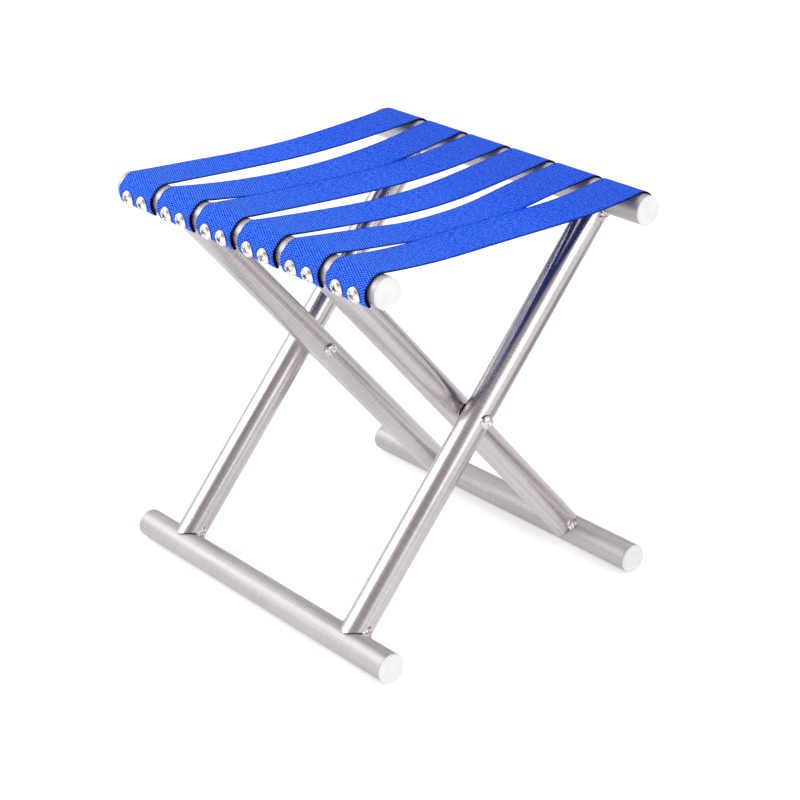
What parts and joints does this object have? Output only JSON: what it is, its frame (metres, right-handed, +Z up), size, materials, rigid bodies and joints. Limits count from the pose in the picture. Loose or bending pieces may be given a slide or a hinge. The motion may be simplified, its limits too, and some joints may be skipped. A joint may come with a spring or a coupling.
{
  "type": "folding camp stool",
  "caption": "Low folding stool: two crossed round-tube steel frames pivoted at mid-leg, with elastic webbing straps riveted across the top rails as the seat.",
  "frame": {"origin": "on the floor, under the middle of the open stool", "axes": "+Z up; Y along the rails with the front at -Y; X across the stool from the inner frame's top rail at -X to the outer frame's top rail at +X"},
  "size_m": [0.273, 0.293, 0.3007],
  "materials": {
    "rail_steel": "fine lengthwise brushing, satin",
    "leg_steel": "polished satin",
    "weld_steel": "as welded, cleaned bright",
    "pivot_steel": "bright plated",
    "washer_steel": "bright",
    "strap_rivet_steel": "bright plated",
    "cap_plastic": "smooth moulded white",
    "webbing": "ribbed elastic webbing, royal blue"
  },
  "bodies": {
    "outer_frame": {"outer_top_rail": "rail_steel", "outer_floor_rail": "rail_steel", "outer_leg_front": "leg_steel", "outer_leg_back": "leg_steel", "outer_weld_beads": "weld_steel", "cap_outer_top_front": "cap_plastic", "cap_outer_top_back": "cap_plastic", "cap_outer_floor_front": "cap_plastic", "cap_outer_floor_back": "cap_plastic", "outer_strap_rivets": "strap_rivet_steel", "pivot_rivet_front": "pivot_steel", "pivot_rivet_back": "pivot_steel", "pivot_washer_front": "washer_steel", "pivot_washer_back": "washer_steel", "strap_1": "webbing", "strap_2": "webbing", "strap_3": "webbing", "strap_4": "webbing", "strap_5": "webbing", "strap_6": "webbing"},
    "inner_frame": {"inner_top_rail": "rail_steel", "inner_floor_rail": "rail_steel", "inner_leg_front": "leg_steel", "inner_leg_back": "leg_steel", "inner_weld_beads": "weld_steel", "cap_inner_top_front": "cap_plastic", "cap_inner_top_back": "cap_plastic", "cap_inner_floor_front": "cap_plastic", "cap_inner_floor_back": "cap_plastic", "inner_strap_rivets": "strap_rivet_steel"}
  },
  "joints": [
    {"name": "fold", "type": "hinge", "parent": "outer_frame", "child": "inner_frame", "pos_m": [0, 0, 0.1495], "axis": [0, 1, 0], "range_deg": [0, 73], "deforming": ["strap_1", "strap_2", "strap_3", "strap_4", "strap_5", "strap_6"]}
  ]
}
